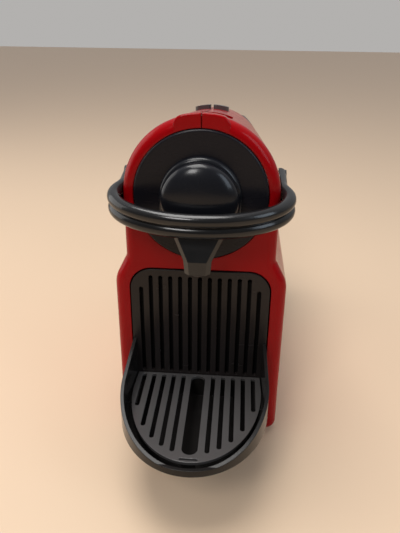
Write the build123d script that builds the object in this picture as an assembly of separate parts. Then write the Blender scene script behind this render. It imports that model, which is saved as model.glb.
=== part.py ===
from build123d import *
import os
from math import atan2, cos, degrees, hypot, radians, sin, sqrt, tan

os.makedirs("parts", exist_ok=True)

# Axes: X to the user's right, -Y to the user, Z up from the table.
# The origin is the middle of the whole footprint.

# Casing
BODY_HALF = 55.8
BODY_DEPTH = 170.0
NECK_IN = 7.8
HEAD_R_FALL = 7.0
HEAD_TOP = 229.6
TOP_FALL = 26.5
NECK_DROP = 90.7
NECK_H = 15.7
SHOULDER_R = 20.0
NECK_FILLET = 6.0
BASE_CORNER = 7.0
WALL = 2.4
FRONT_WALL = 4.0
FRONT_EDGE_R = 6.0
FOOT_H = 3.0
SEAM_GAP = 0.4
SEAM_W = 0.7
SEAM_DEPTH = 1.0
BRIDGE_HALF = 16.4
BRIDGE_DEPTH = 11.0
BRIDGE_PROUD = 0.7
BRIDGE_R = 6.0
BRIDGE_EDGE = 1.0
BOSS_R = 4.0
BOSS_TOP = 26.0
SCREW_R = 1.6
SCREW_HEAD_R = 3.0
SCREW_HEAD_H = 2.0
SCREW_INSET = 12.0

# Round face and coffee outlet
DISC_RIM = 7.5
DISC_DROP = 48.8
DISC_PROUD = 1.5
DISC_EDGE = 1.2
ARCH_R = 24.8
ARCH_RAISE = 0.6
ARCH_PROUD = 4.5
ARCH_EDGE = 3.0
DOME_R = 23.2
DOME_REACH = 17.5
DOME_FRONT = 8.5
DOME_BACK = 10.6
SPOUT_TOP_HALF = 17.0
SPOUT_TOP_DROP = 14.8
SPOUT_TOP_INSET = 1.5
SPOUT_NECK_HALF = 8.4
SPOUT_NECK_DROP = 31.3
SPOUT_TIP_HALF = 7.7
SPOUT_TIP_DROP = 39.8
SPOUT_CHAMFER = 3.0
SPOUT_REACH = 24.0
SPOUT_DEPTH = 14.0
NOZZLE_R = 5.6
NOZZLE_BORE = 3.6
NOZZLE_DROP = 1.2
NOZZLE_L = 5.0

# Panel and capsule bin
PANEL_SIDE = 10.8
PANEL_DROP = 98.0
PANEL_T = 3.0
PANEL_PROUD = 0.8
PANEL_R = 14.0
PANEL_GAP = 0.9
PANEL_BELOW = 8.0
PANEL_SLOTS = 13
PANEL_MARGIN = 6.8
PANEL_SLOT_W = 2.7
PANEL_SLOT_DROP = 3.3
PANEL_SLOT_STEP = 8.5
OPENING_BOTTOM = 17.0
BIN_WALL = 1.8
BIN_DROP = 7.6
BIN_DEPTH = 76.0

# Drip tray and its grid
TRAY_REACH = 92.0
TRAY_WIDER = 1.4
TRAY_NOSE = 57.5
TRAY_BACK_IN = 1.6
TRAY_WALL = 2.2
TRAY_FRONT_Z = 54.5
TRAY_BACK_Z = 80.0
TRAY_SIDE_Z = 50.0
TRAY_BOTTOM_Z = 33.0
TRAY_DRAW_IN = 19.4
TRAY_GAP = 1.2
TRAY_TONGUE_HALF = 30.0
TRAY_TONGUE_L = 30.0
TRAY_TONGUE_T = 2.5
LEDGE_W = 6.0
LEDGE_T = 2.0
LEDGE_FRONT = 32.0
LEDGE_BACK = 12.0
POST_HALF = 4.0
POST_BACK = 3.0
GRID_TOP = 51.7
GRID_T = 2.0
GRID_FLARE = 0.7
GRID_NOSE = 66.0
GRID_FRONT = 82.9
GRID_SIDE = 5.3
GRID_SLOT_W = 2.9
GRID_SLOTS_EACH_SIDE = 5
GRID_SLOT_INSET = 3.5
GRID_BORDER = 6.0
GRID_MIDDLE_W = 9.5
GRID_SLIP = 0.6
GRID_BACK_GAP = 0.4
NOTCH_L = 11.0
NOTCH_W = 1.4
NOTCH_BACK = 2.4

# Lever and its pivot
LEVER_SPREAD = 8.7
LEVER_REACH = 31.0
LEVER_BAR_R = 4.0
LEVER_BAR_PITCH = 7.2
LEVER_DROP = 11.0
LEVER_BEND = 2.0
LEVER_TAPER = 16.0
PIVOT_BACK = 35.0
PIVOT_DROP = 46.6
EAR_R = 5.8
EAR_T = 4.9
EAR_GAP = 0.6
EAR_SKIN = 1.5
SHAFT_R = 3.6
RUN_FIT = 0.06
BUSH_WALL = 2.0
CRANK_R = 18.3
LEVER_SWING = 100.0
CRANK_T = 3.0
CRANK_GAP = 0.3
CRANK_HUB_R = 7.0
CRANK_END_R = 4.5
CRANK_PIN_R = 2.0
CRANK_PIN_PLAY = 0.95

# Brewing
PLATE_T = 4.0
SEAL_T = 1.5
BREW_WALL = 2.5
BREW_FRONT_T = 4.0
BREW_GAP = 0.8
BREW_BELOW = 24.0
BREW_ABOVE = 11.0
BREW_PLATE_HALF = 40.0
OUTLET_R = 3.0
CAGE_R = 20.0
CAGE_LENGTH = 36.0
CAGE_MOUTH_R = 15.6
CAGE_END_R = 12.5
CAGE_CUP_DEPTH = 28.0
CARRIAGE_HALF = 22.4
CARRIAGE_EAR_T = 3.0
CARRIAGE_BELOW = 22.5
CARRIAGE_ABOVE = 10.0
LUG_INSET = 3.0
LUG_LENGTH = 14.0
GUIDE_DROP = 12.0
GUIDE_H = 7.6
GUIDE_FIT = 0.1
INJECTOR_R = 3.0
INJECTOR_OVERLAP = 9.0
SLOT_HALF = 17.0
SLOT_LENGTH = 31.0
DOOR_T = 1.8
DOOR_GAP = 0.4
DOOR_LAP = 1.6

# Heating, pump and water path
BOILER_SIDE = 17.0
BOILER_D = 50.0
BOILER_H = 34.0
BOILER_RISE = 8.0
BOILER_GAP = 6.0
BOILER_MOUNT_X = 20.0
BOILER_MOUNT_R = 2.6
CLIP_X = 12.0
CLIP_R = 6.5
CLIP_H = 2.0
CAP_R = 4.5
CAP_H = 4.0
PUMP_X = -22.0
PUMP_BEHIND = 130.0
PUMP_R = 9.5
PUMP_BOTTOM = 22.0
PUMP_TOP = 112.0
COIL_W = 40.0
COIL_D = 34.0
COIL_H = 38.0
COIL_Z = 50.0
PAD_R = 3.5
PAD_H = 2.5
PAD_INSET = 5.0
BRACKET_T = 2.0
BRACKET_LAP = 3.0
BRACKET_LEG = 9.0
PLUNGER_R = 4.0
PLUNGER_L = 22.0
PLUNGER_Z = 58.0
PLUNGER_STROKE = 1.5
PUMP_SPRING_L = 10.0
METER_X = 16.0
METER_R = 16.0
METER_H = 15.0
METER_WALL = 2.5
METER_PIN_R = 1.0
IMPELLER_FIT = 0.5
BARB_R = 2.2
BARB_L = 5.0
WATER_R = 1.2
HOSE_R = 3.2
HOSE_BORE = 1.8
HOSE_ROOM = 1.6

# Boards and buttons
BOARD_T = 1.6
BOARD_BEHIND = 12.0
BOARD_L = 62.0
BOARD_H = 88.0
BOARD_IN = 4.0
RELAY_L = 18.0
RELAY_H = 12.0
RELAY_T = 10.0
TRANSFORMER_T = 14.0
CAPACITOR_R = 6.0
SWITCH_DROP = 13.0
SWITCH_HALF = 20.0
SWITCH_L = 28.0
SWITCH_R = 1.6
SWITCH_H = 1.5
POST_X = 17.0
POST_R = 2.0
BUTTON_BEHIND = 115.0
BUTTON_INNER = 1.1
BUTTON_OUTER = 12.4
BUTTON_LENGTH = 15.0
BUTTON_CORNER = 3.0
BUTTON_STAND = 3.0
BUTTON_TRAVEL = 1.2
BUTTON_GAP = 0.3
BUTTON_STEM_R = 2.0

# Tank and base
TANK_DEPTH = 58.0
TANK_GAP = 1.0
TANK_DROP = 45.6
TANK_WALL = 2.0
TANK_CORNER = 18.0
LID_T = 3.0
LID_GAP = 0.3
LID_PIN_R = 0.9
LID_PIN_IN = 5.5
LID_EAR_W = 4.5
PLINTH_TOP = 18.0
FLOOR_T = 3.0
FOOT_R = 7.0
FOOT_X = 36.0
FOOT_INSET = 16.0
GLAND_R = 4.8
GLAND_BORE = 3.3
GLAND_L = 8.0
GLAND_X = 22.0
SOCKET_R = 9.5
SEAT_GAP = 0.3
VALVE_R = 7.0
VALVE_BORE = 3.2
VALVE_STEM_R = 2.4
VALVE_DROP = 7.0
VALVE_LIFT = 2.0
VALVE_SEAL_T = 1.2
VALVE_HEAD_T = 2.5
VALVE_PIN_R = 1.2
VALVE_CAGE_R = 8.5
VALVE_CAGE_H = 16.0
VALVE_CAGE_T = 1.5

# Places along Y and the widths of the casing
DEPTH = TRAY_REACH + BODY_DEPTH + TANK_GAP + TANK_DEPTH
FRONT_Y = TRAY_REACH - DEPTH / 2
BACK_Y = FRONT_Y + BODY_DEPTH
TANK_FRONT = BACK_Y + TANK_GAP
TANK_BACK = TANK_FRONT + TANK_DEPTH
TANK_CENTRE_Y = TANK_FRONT + TANK_DEPTH / 2
HEAD_R = BODY_HALF - NECK_IN
HEAD_R_BACK = HEAD_R - HEAD_R_FALL
HEAD_Z = HEAD_TOP - HEAD_R
HEAD_Z_BACK = HEAD_TOP - TOP_FALL - HEAD_R_BACK
SHOULDER_TOP = HEAD_TOP - NECK_DROP
SHOULDER_LOW = SHOULDER_TOP - NECK_H
SCREW_X = BODY_HALF - WALL - BOSS_R + 0.5

# Places of the face, panel and tray
DISC_R = HEAD_R - DISC_RIM
DISC_Z = HEAD_TOP - DISC_DROP
ARCH_Z = DISC_Z + ARCH_RAISE
SPOUT_TOP_Z = DISC_Z - SPOUT_TOP_DROP
SPOUT_NECK_Z = DISC_Z - SPOUT_NECK_DROP
SPOUT_TIP_Z = DISC_Z - SPOUT_TIP_DROP
NOZZLE_Y = FRONT_Y - DISC_PROUD - SPOUT_REACH + SPOUT_DEPTH / 2
PANEL_HALF = BODY_HALF - PANEL_SIDE
PANEL_TOP = HEAD_TOP - PANEL_DROP
PANEL_BACK = FRONT_Y - PANEL_PROUD + PANEL_T
PANEL_BOTTOM = GRID_TOP - PANEL_BELOW
PANEL_SLOT_TOP = PANEL_TOP - PANEL_SLOT_DROP
PANEL_PITCH = 2 * (PANEL_HALF - PANEL_MARGIN) / (PANEL_SLOTS - 1)
BIN_HALF = PANEL_HALF - 1.0
BIN_TOP = PANEL_TOP - BIN_DROP
BIN_BOTTOM = OPENING_BOTTOM + 4.0
TRAY_HALF = PANEL_HALF + TRAY_WIDER
TRAY_BACK_HALF = TRAY_HALF - TRAY_BACK_IN
LEDGE_Z = GRID_TOP - GRID_T
GRID_BACK_HALF = TRAY_BACK_HALF - TRAY_WALL - GRID_SLIP
GRID_HALF = GRID_BACK_HALF + GRID_FLARE
GRID_PITCH = (GRID_HALF - GRID_SIDE) / (GRID_SLOTS_EACH_SIDE + 0.5)

# Places of the lever and the brewing parts
LEVER_HALF = HEAD_R + LEVER_SPREAD
PIVOT_Y = FRONT_Y + PIVOT_BACK
PIVOT_Z = HEAD_TOP - PIVOT_DROP
CRANK_TILT = radians(LEVER_SWING / 2)
PIN_Y = PIVOT_Y - CRANK_R * sin(CRANK_TILT)
PIN_Z = PIVOT_Z + CRANK_R * cos(CRANK_TILT)
BREW_Y = FRONT_Y + FRONT_WALL
PLATE_Y = BREW_Y + BREW_FRONT_T
CAGE_Y = PLATE_Y + PLATE_T + SEAL_T
CAGE_BACK = CAGE_Y + CAGE_LENGTH
CAGE_TRAVEL = 2 * CRANK_R * sin(radians(LEVER_SWING / 2))
BREW_BACK = CAGE_BACK + CAGE_TRAVEL + BREW_GAP
BREW_IN = CARRIAGE_HALF + 0.2 + CRANK_T + 0.8
GUIDE_Z = HEAD_Z - GUIDE_DROP
SLOT_Y = CAGE_Y - 1.0

# Places of the water path, boards and buttons
LIP_TOP = FOOT_H + WALL
FLOOR_TOP = LIP_TOP + FLOOR_T
BOILER_HALF = HEAD_R - BOILER_SIDE
BOILER_Y = BREW_BACK + BREW_WALL + BOILER_GAP
BOILER_TOP = HEAD_Z + BOILER_RISE
PUMP_Y = FRONT_Y + PUMP_BEHIND
PUMP_BARB_Z = PUMP_BOTTOM + BARB_L
METER_Y = PUMP_Y
METER_BARB_Z = FLOOR_TOP + METER_H / 2
SOCKET_HOSE_Z = FLOOR_TOP + HOSE_R + 0.6
BOARD_X = BODY_HALF - WALL - BOARD_T - BOARD_IN
BOARD_Y = FRONT_Y + FRONT_WALL + BIN_DEPTH + BOARD_BEHIND
BUTTON_X = (BUTTON_INNER + BUTTON_OUTER) / 2
BUTTON_Y = FRONT_Y + BUTTON_BEHIND
SWITCH_Z = HEAD_TOP - TOP_FALL * BUTTON_BEHIND / BODY_DEPTH - SWITCH_DROP

# Places of the tank, its lid and its valve
TANK_TOP = HEAD_TOP - TANK_DROP
TANK_LOW = PLINTH_TOP + SEAT_GAP
TANK_FLOOR = TANK_LOW + TANK_WALL
GLAND_Z = FOOT_H + (PLINTH_TOP - FOOT_H) / 2
LID_PIN_Y = TANK_FRONT + LID_PIN_IN
LID_PIN_Z = TANK_TOP + LID_GAP + LID_T / 2
VALVE_STEM_Z = TANK_LOW - VALVE_DROP + 1.0
VALVE_HEAD_Z = TANK_FLOOR + VALVE_SEAL_T + VALVE_LIFT


def block(x0, x1, y0, y1, z0, z1):
    """A box between two corners."""
    centre = Pos((x0 + x1) / 2, (y0 + y1) / 2, (z0 + z1) / 2)
    return centre * Box(x1 - x0, y1 - y0, z1 - z0)


def rod_x(radius, y, z, x0, x1):
    """A round bar along X."""
    bar = Cylinder(radius, x1 - x0, align=(Align.CENTER, Align.CENTER, Align.MIN))
    return Pos(x0, y, z) * Rot(0, 90, 0) * bar


def rod_y(radius, x, z, y0, y1):
    """A round bar along Y."""
    bar = Cylinder(radius, y1 - y0, align=(Align.CENTER, Align.CENTER, Align.MIN))
    return Pos(x, y0, z) * Rot(-90, 0, 0) * bar


def rod_z(radius, x, y, z0, z1):
    """A round bar along Z."""
    return Pos(x, y, z0) * Cylinder(radius, z1 - z0, align=(Align.CENTER, Align.CENTER, Align.MIN))


def both(shape):
    """The shape and its mirror image across the machine's middle plane."""
    return [shape, mirror(shape, Plane.YZ)]


def save(node, shape):
    """Write one sub-part, as one solid or a group of separate solids."""
    solids = [s for part in (shape if isinstance(shape, list) else [shape]) for s in part.solids()]
    export_step(solids[0] if len(solids) == 1 else Compound(children=solids), f"parts/{node}.step")


def extrude_front(sketch, y0, y1):
    """A sketch in the X-Z plane pushed back from y0 to y1."""
    return extrude(Pos(0, y0, 0) * (Plane.XZ * sketch), amount=y1 - y0, dir=(0, 1, 0))


def extrude_side(sketch, x0, x1):
    """A sketch in the Y-Z plane pushed from x0 to x1."""
    return extrude(Pos(x0, 0, 0) * (Plane.YZ * sketch), amount=x1 - x0, dir=(1, 0, 0))


def extrude_up(sketch, z0, z1):
    """A sketch in the X-Y plane pushed up from z0 to z1."""
    return extrude(Pos(0, 0, z0) * sketch, amount=z1 - z0, dir=(0, 0, 1))


def head_radius(y):
    """Radius of the casing's round head at depth y."""
    return HEAD_R - HEAD_R_FALL * (y - FRONT_Y) / BODY_DEPTH


def head_centre(y):
    """Height of the head's centre at depth y."""
    return HEAD_Z + (HEAD_Z_BACK - HEAD_Z) * (y - FRONT_Y) / BODY_DEPTH


def top_at(x, y, inset=0.0):
    """Height of the casing's top over the point x, y."""
    return head_centre(y) + sqrt((head_radius(y) - inset) ** 2 - x**2)


def head_half(z, y, inset=0.0):
    """Half width of the head at height z and depth y."""
    return sqrt((head_radius(y) - inset) ** 2 - (z - head_centre(y)) ** 2)


def outline(y, inset, bottom, base_corner=BASE_CORNER):
    """The casing's outline at depth y, drawn in by inset, standing at height bottom."""
    radius = head_radius(y) - inset
    centre = head_centre(y)
    half = BODY_HALF - inset
    side = [(0, bottom), (half, bottom), (half, SHOULDER_LOW), (radius, SHOULDER_TOP), (radius, centre)]
    corner = max(base_corner - inset, 1.0)
    right = FilletPolyline(*side, radius=[corner, SHOULDER_R - inset, NECK_FILLET + inset])
    left = mirror(right, Plane.YZ)
    top = ThreePointArc((radius, centre), (0, centre + radius), (-radius, centre))
    return Pos(0, y, 0) * (Plane.XZ * make_face([*right.edges(), top, *left.edges()]))


def casing_form(inset, y0, y1, bottom=FOOT_H):
    """The casing's outer form drawn in by inset, between two depths."""
    return loft([outline(y0, inset, bottom), outline(y1, inset, bottom)], ruled=True)


def panel_outline(grow, bottom):
    """The slotted panel's outline, round at its two top corners."""
    half = PANEL_HALF + grow
    top = PANEL_TOP + grow
    path = [(0, bottom), (half, bottom), (half, top), (0, top)]
    right = FilletPolyline(*path, radius=[1.0, PANEL_R + grow])
    return make_face([*right.edges(), *mirror(right, Plane.YZ).edges()])


def front_rounded(form):
    """Round the front edge of a casing form."""
    rim = form.faces().sort_by(Axis.Y)[0].outer_wire().edges()
    return fillet(rim, FRONT_EDGE_R)


def bridge():
    """The flat-fronted block over the face disc, round at its corners."""
    region = block(-BRIDGE_HALF, BRIDGE_HALF, FRONT_Y, FRONT_Y + BRIDGE_DEPTH, DISC_Z, HEAD_TOP + 5)
    form = casing_form(-BRIDGE_PROUD, FRONT_Y, FRONT_Y + BRIDGE_DEPTH) & region
    running = form.edges().filter_by(lambda edge: edge.bounding_box().size.Y > BRIDGE_DEPTH / 2)
    form = fillet(running.sort_by(Axis.Z)[-2:], BRIDGE_R)
    return fillet(form.faces().sort_by(Axis.Y)[0].outer_wire().edges(), BRIDGE_EDGE)


def seam_groove():
    """Narrow groove along the top where the two casing halves meet."""
    slit = block(-SEAM_W / 2, SEAM_W / 2, FRONT_Y - 1, BACK_Y + 1, HEAD_Z, HEAD_TOP + 5)
    return slit - casing_form(SEAM_DEPTH, FRONT_Y + SEAM_DEPTH, BACK_Y + 2)


def button_plan(side, gap=0.0):
    """Plan of one button, side is -1 or 1."""
    width = BUTTON_OUTER - BUTTON_INNER + 2 * gap
    plan = RectangleRounded(width, BUTTON_LENGTH + 2 * gap, BUTTON_CORNER + gap)
    return Pos(side * BUTTON_X, BUTTON_Y) * plan


def housings():
    """The two casing halves, open at the back and below."""
    outer = front_rounded(casing_form(0, FRONT_Y, BACK_Y)) + bridge()
    hollow = casing_form(WALL, FRONT_Y + FRONT_WALL, BACK_Y + 1, FOOT_H + WALL)
    shell = outer - hollow
    floor_half = BODY_HALF - WALL - BASE_CORNER
    shell -= block(-floor_half, floor_half, FRONT_Y + FRONT_WALL, BACK_Y + 1, 0, FOOT_H + WALL + 1)
    shell -= rod_y(DISC_R + SEAM_GAP, 0, DISC_Z, FRONT_Y - 1, FRONT_Y + FRONT_WALL + 1)
    shell -= extrude_front(panel_outline(PANEL_GAP, OPENING_BOTTOM), FRONT_Y - 1, FRONT_Y + FRONT_WALL + 1)
    shell -= block(-SLOT_HALF, SLOT_HALF, SLOT_Y, SLOT_Y + SLOT_LENGTH, HEAD_Z, HEAD_TOP + 5)
    shell -= seam_groove()
    for side in (-1, 1):
        shell -= extrude_up(button_plan(side, BUTTON_GAP), HEAD_Z, HEAD_TOP + 5)
    shell -= rod_x(SHAFT_R + BUSH_WALL, PIVOT_Y, PIVOT_Z, -BODY_HALF, BODY_HALF)
    for boss in both(screw_boss(FRONT_Y + SCREW_INSET)) + both(screw_boss(BACK_Y - SCREW_INSET)):
        shell += boss
    for screw_y in (FRONT_Y + SCREW_INSET, BACK_Y - SCREW_INSET):
        for side in (-1, 1):
            shell -= rod_z(SCREW_HEAD_R + 0.3, side * SCREW_X, screw_y, 0, LIP_TOP)
            shell -= rod_z(SCREW_R + RUN_FIT, side * SCREW_X, screw_y, 0, BOSS_TOP - 3)
    half = block(0, BODY_HALF + 5, FRONT_Y - 5, BACK_Y + 5, 0, HEAD_TOP + 5)
    return shell & mirror(half, Plane.YZ), shell & half


def screw_boss(y):
    """A boss beside the right-hand wall that takes a casing screw."""
    boss = rod_z(BOSS_R, SCREW_X, y, FLOOR_TOP, BOSS_TOP)
    return boss - rod_z(SCREW_R + RUN_FIT, SCREW_X, y, 0, BOSS_TOP - 3)


def casing_screws():
    """Screws that come up through the floor into the casing bosses."""
    screws = []
    for y in (FRONT_Y + SCREW_INSET, BACK_Y - SCREW_INSET):
        shank = rod_z(SCREW_R, SCREW_X, y, LIP_TOP - SCREW_HEAD_H, BOSS_TOP - 4)
        head = rod_z(SCREW_HEAD_R, SCREW_X, y, LIP_TOP - SCREW_HEAD_H, LIP_TOP - 0.1)
        screws += both(shank + head)
    return screws


def rear_form(inset, y0, z0, z1):
    """The casing's form carried on behind it, round at the back, between two heights."""
    y1 = TANK_BACK - inset
    far_below = -2 * TANK_CORNER
    form = loft([outline(y, inset, far_below, TANK_CORNER + 2) for y in (y0, y1)], ruled=True)
    rim = form.faces().sort_by(Axis.Y)[-1].outer_wire().edges()
    form = fillet(rim, TANK_CORNER - inset)
    return form & block(-BODY_HALF, BODY_HALF, y0, y1, z0, z1)


def hose_channel():
    """Room under the tank and through the rear cover for the tank's hose."""
    side = HOSE_R + HOSE_ROOM
    top = FLOOR_TOP + 2 * HOSE_R + HOSE_ROOM
    return block(-side, side + METER_X / 2, BACK_Y - WALL - 1, TANK_CENTRE_Y, FLOOR_TOP, top)


def plinth_end():
    """The plinth seen from behind, rounded at its two lower corners."""
    tall = 2 * PLINTH_TOP
    path = [(0, FOOT_H), (BODY_HALF, FOOT_H), (BODY_HALF, tall), (0, tall)]
    right = FilletPolyline(*path, radius=[BASE_CORNER, BASE_CORNER])
    return make_face([*right.edges(), *mirror(right, Plane.YZ).edges()])


def base():
    """Floor inside the casing and the plinth under the tank."""
    floor = casing_form(WALL + SEAM_GAP, FRONT_Y + FRONT_WALL + SEAM_GAP, BACK_Y, LIP_TOP)
    floor &= block(-BODY_HALF, BODY_HALF, FRONT_Y, BACK_Y, 0, FLOOR_TOP)
    plinth = rear_form(0, BACK_Y, FOOT_H, PLINTH_TOP) & extrude_front(plinth_end(), BACK_Y, TANK_BACK)
    plinth -= rod_z(SOCKET_R + RUN_FIT, 0, TANK_CENTRE_Y, FLOOR_TOP, PLINTH_TOP + 1)
    plinth -= hose_channel()
    plinth -= rod_y(GLAND_BORE + 0.3, GLAND_X, GLAND_Z, BACK_Y - 1, TANK_BACK - GLAND_L + 1)
    plinth -= rod_y(GLAND_R + RUN_FIT, GLAND_X, GLAND_Z, TANK_BACK - GLAND_L, TANK_BACK + 1)
    shape = floor + plinth
    for y in (FRONT_Y + SCREW_INSET, BACK_Y - SCREW_INSET):
        for side in (-1, 1):
            shape -= rod_z(SCREW_R + 0.2, side * SCREW_X, y, 0, FLOOR_TOP + 1)
    return shape


def feet():
    """Four rubber feet."""
    pads = []
    for y in (FRONT_Y + FOOT_INSET, TANK_BACK - FOOT_INSET):
        top = LIP_TOP if y < BACK_Y else FOOT_H
        pads += both(chamfer(rod_z(FOOT_R, FOOT_X, y, 0, top).edges().group_by(Axis.Z)[0], 0.6))
    return pads


def cord_gland():
    """Bush in the plinth where the mains lead would leave."""
    bush = rod_y(GLAND_R, GLAND_X, GLAND_Z, TANK_BACK - GLAND_L, TANK_BACK)
    return bush - rod_y(GLAND_BORE, GLAND_X, GLAND_Z, TANK_BACK - GLAND_L - 1, TANK_BACK + 1)


def rear_cover():
    """Plate that closes the back of the casing."""
    front = BACK_Y - WALL
    cover = casing_form(WALL + SEAM_GAP, front, BACK_Y, FLOOR_TOP + SEAM_GAP) - hose_channel()
    return cover - rod_y(GLAND_BORE + 0.3, GLAND_X, GLAND_Z, front - 1, BACK_Y + 1)


def face_disc():
    """Round black face in front of the brewing head."""
    disc = rod_y(DISC_R, 0, DISC_Z, FRONT_Y - DISC_PROUD, BREW_Y)
    return fillet(disc.edges().sort_by(Axis.Y)[0], DISC_EDGE)


def face_dome():
    """Arched plate with a full dome, over the spout."""
    face = FRONT_Y - DISC_PROUD
    arch = Pos(0, ARCH_Z) * Circle(ARCH_R)
    arch += Pos(0, (ARCH_Z + SPOUT_TOP_Z) / 2) * Rectangle(2 * ARCH_R, ARCH_Z - SPOUT_TOP_Z)
    arch &= Pos(0, SPOUT_TOP_Z + 2 * ARCH_R) * Rectangle(4 * ARCH_R, 4 * ARCH_R)
    plate = extrude_front(arch, face - ARCH_PROUD, face)
    plate = fillet(plate.edges().filter_by(GeomType.CIRCLE).sort_by(Axis.Y)[0], ARCH_EDGE)
    points = []
    for turn in range(-90, 91, 15):
        depth = DOME_BACK if turn > 0 else DOME_FRONT
        points.append((DOME_R * cos(radians(turn)), depth * sin(radians(turn))))
    curve = Spline(*points, tangents=[(1, 0), (-1, 0)])
    profile = make_face([*curve.edges(), Line((0, DOME_BACK), (0, -DOME_FRONT))])
    dome = Pos(0, face - DOME_REACH + DOME_FRONT, ARCH_Z) * revolve(profile, Axis.Y)
    side = 2 * DOME_R
    return plate + (dome & block(-side, side, face - side, face, SPOUT_TOP_Z, ARCH_Z + side))


def spout_section(half, y0, y1, z):
    """One level section of the spout, with chamfered front corners."""
    cut = SPOUT_CHAMFER
    right = [(half, y1), (half, y0 + cut), (half - cut, y0)]
    left = [(-x, y) for x, y in reversed(right)]
    return Pos(0, 0, z) * make_face(Polyline(*right, *left, close=True))


def spout():
    """Funnel under the dome."""
    face = FRONT_Y - DISC_PROUD
    top = spout_section(SPOUT_TOP_HALF, face - DOME_REACH + SPOUT_TOP_INSET, face - SEAM_GAP, SPOUT_TOP_Z)
    front = face - SPOUT_REACH
    neck = spout_section(SPOUT_NECK_HALF, front, front + SPOUT_DEPTH, SPOUT_NECK_Z)
    tip = spout_section(SPOUT_TIP_HALF, front, front + SPOUT_DEPTH, SPOUT_TIP_Z)
    funnel = loft([top, neck], ruled=True) + loft([neck, tip], ruled=True)
    return funnel - rod_z(NOZZLE_R + RUN_FIT, 0, NOZZLE_Y, SPOUT_TIP_Z - 1, SPOUT_TIP_Z + NOZZLE_L)


def spout_nozzle():
    """Outlet ring in the spout's tip."""
    ring = rod_z(NOZZLE_R, 0, NOZZLE_Y, SPOUT_TIP_Z - NOZZLE_DROP, SPOUT_TIP_Z + NOZZLE_L)
    return ring - rod_z(NOZZLE_BORE, 0, NOZZLE_Y, SPOUT_TIP_Z - NOZZLE_DROP - 1, SPOUT_TIP_Z + NOZZLE_L + 1)


def front_grid():
    """Slotted panel in front of the used-capsule bin."""
    panel = extrude_front(panel_outline(0, PANEL_BOTTOM), FRONT_Y - PANEL_PROUD, PANEL_BACK)
    for count in range(PANEL_SLOTS):
        x = (count - (PANEL_SLOTS - 1) / 2) * PANEL_PITCH
        outermost = abs(x) + PANEL_PITCH > PANEL_HALF - PANEL_SLOT_W
        top = PANEL_SLOT_TOP - (PANEL_SLOT_STEP if outermost else 0)
        slot = Pos(x, (top + GRID_TOP) / 2) * SlotOverall(top - GRID_TOP - 2, PANEL_SLOT_W, rotation=90)
        panel -= extrude_front(slot, FRONT_Y - PANEL_PROUD - 1, PANEL_BACK + 1)
    return panel


def capsule_bin():
    """Open-topped bin for used capsules, behind the slotted panel."""
    outer = block(-BIN_HALF, BIN_HALF, PANEL_BACK, PANEL_BACK + BIN_DEPTH, BIN_BOTTOM, BIN_TOP)
    inner = block(-BIN_HALF + BIN_WALL, BIN_HALF - BIN_WALL, PANEL_BACK + BIN_WALL,
                  PANEL_BACK + BIN_DEPTH - BIN_WALL, BIN_BOTTOM + BIN_WALL, BIN_TOP + 1)
    return outer - inner


def nose_plan(half, back_half, nose, reach):
    """Plan of the tray or grid: flat at the back, with an elliptical front."""
    back = FRONT_Y - TRAY_GAP
    bend = FRONT_Y - reach + nose
    front = EllipticalCenterArc((0, bend), half, nose, start_angle=180, arc_size=180)
    right = Line((back_half, back), (half, bend))
    left = Line((-half, bend), (-back_half, back))
    return make_face([right, *front.edges(), left, Line((-back_half, back), (back_half, back))])


def tray_plan(inset):
    """The tray's plan, drawn in by inset."""
    return nose_plan(TRAY_HALF - inset, TRAY_BACK_HALF - inset, TRAY_NOSE - inset, TRAY_REACH - inset)


def tray_form(inset):
    """Scoop of the tray: a wall over a bottom that draws in."""
    rim = tray_plan(inset)
    foot = tray_plan(TRAY_DRAW_IN + inset / 2)
    wall = extrude_up(rim, TRAY_SIDE_Z, TRAY_BACK_Z + 5)
    return wall + loft([Pos(0, 0, TRAY_BOTTOM_Z + inset) * foot, Pos(0, 0, TRAY_SIDE_Z) * rim], ruled=True)


def tray_rim_cut():
    """Everything above the tray's sloping rim."""
    front = FRONT_Y - TRAY_REACH
    points = [(front - 5, TRAY_FRONT_Z), (front + 4, TRAY_FRONT_Z), (FRONT_Y, TRAY_BACK_Z),
              (FRONT_Y + 5, TRAY_BACK_Z), (FRONT_Y + 5, TRAY_BACK_Z + 20), (front - 5, TRAY_BACK_Z + 20)]
    return extrude_side(make_face(Polyline(*points, close=True)), -TRAY_HALF - 5, TRAY_HALF + 5)


def drip_tray():
    """Scoop-shaped tray under the cup, with a tongue under the bin."""
    back = FRONT_Y - TRAY_GAP
    front = FRONT_Y - TRAY_REACH
    high = TRAY_BACK_Z + 5
    cavity = tray_form(TRAY_WALL) & block(-TRAY_HALF, TRAY_HALF, front, back - TRAY_WALL, 0, high)
    room = GRID_BACK_HALF + GRID_SLIP
    above = block(-room, room, back - TRAY_WALL - 1, back + 1, LEDGE_Z, high)
    tray = tray_form(0) - cavity - above - tray_rim_cut()
    inner = TRAY_HALF - TRAY_WALL - LEDGE_W
    ledge = block(inner, TRAY_HALF, FRONT_Y - LEDGE_FRONT, FRONT_Y - LEDGE_BACK, LEDGE_Z - LEDGE_T, LEDGE_Z)
    post_y = FRONT_Y - GRID_FRONT + POST_BACK
    post = block(-POST_HALF, POST_HALF, post_y, post_y + TRAY_WALL, TRAY_BOTTOM_Z, LEDGE_Z)
    for support in (*both(ledge), post):
        tray += support & tray_form(TRAY_WALL / 2)
    half = TRAY_TONGUE_HALF
    low = BIN_BOTTOM - TRAY_TONGUE_T
    tongue = block(-half, half, back - TRAY_WALL, PANEL_BACK + TRAY_TONGUE_L, low, BIN_BOTTOM)
    riser = block(-half, half, back - TRAY_WALL, back, low, TRAY_SIDE_Z - 4)
    return tray + tongue + riser


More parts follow.
